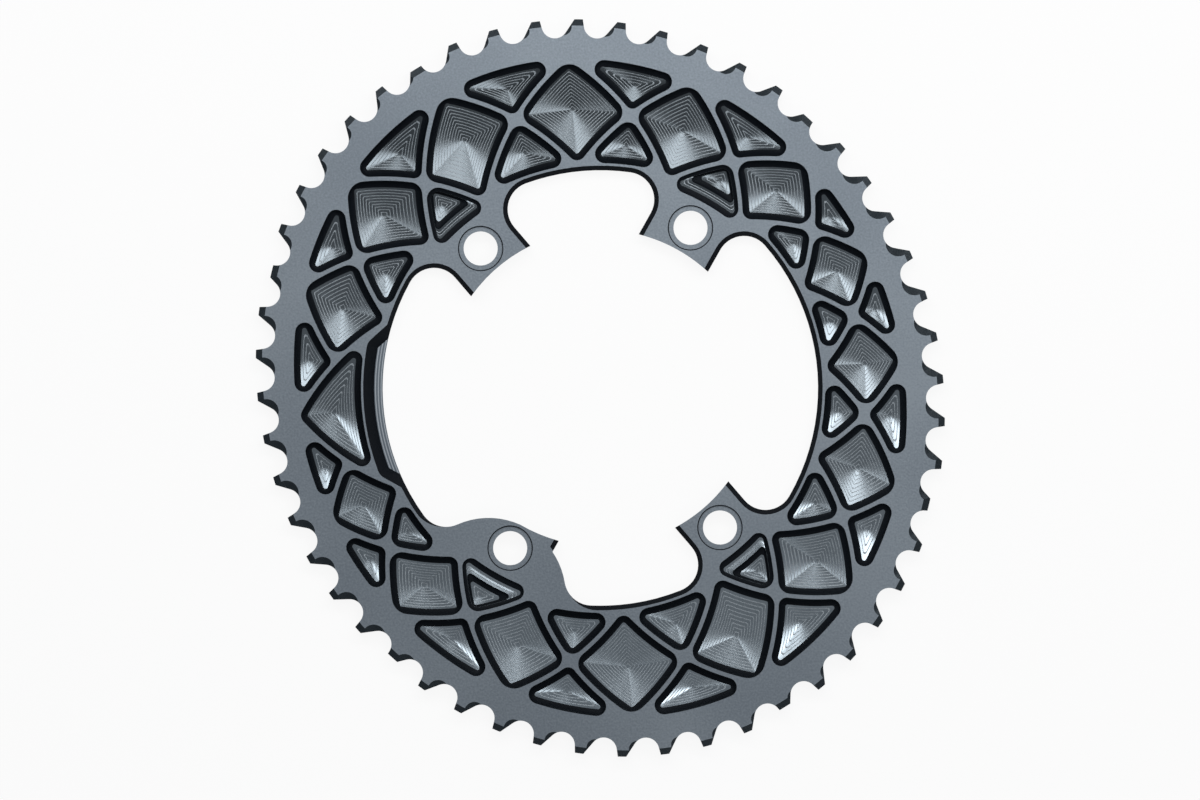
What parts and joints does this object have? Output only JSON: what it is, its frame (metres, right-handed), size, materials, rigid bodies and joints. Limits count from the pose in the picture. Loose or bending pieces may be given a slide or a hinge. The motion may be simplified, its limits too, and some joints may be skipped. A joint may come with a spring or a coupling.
{
  "type": "chainring",
  "caption": "Oval outer chainring for a road crank with four unevenly spaced bolts, a lattice of machined pockets and a recess for the crank arm",
  "frame": {"origin": "crank axis, at the level of the ring's plain back face", "axes": "+Z is the crank axis and points out of the front face, which looks away from the bicycle. +Y points between the two bolt holes that are closer together. -X points along the crank arm. The ring lies on its back on z = 0."},
  "size_m": [0.2048, 0.222, 0.005],
  "materials": {
    "anodised_plate": "satin anodised, with grey-blue faces and darker machined walls"
  },
  "bodies": {
    "root": {"chainring": "anodised_plate"}
  },
  "joints": []
}
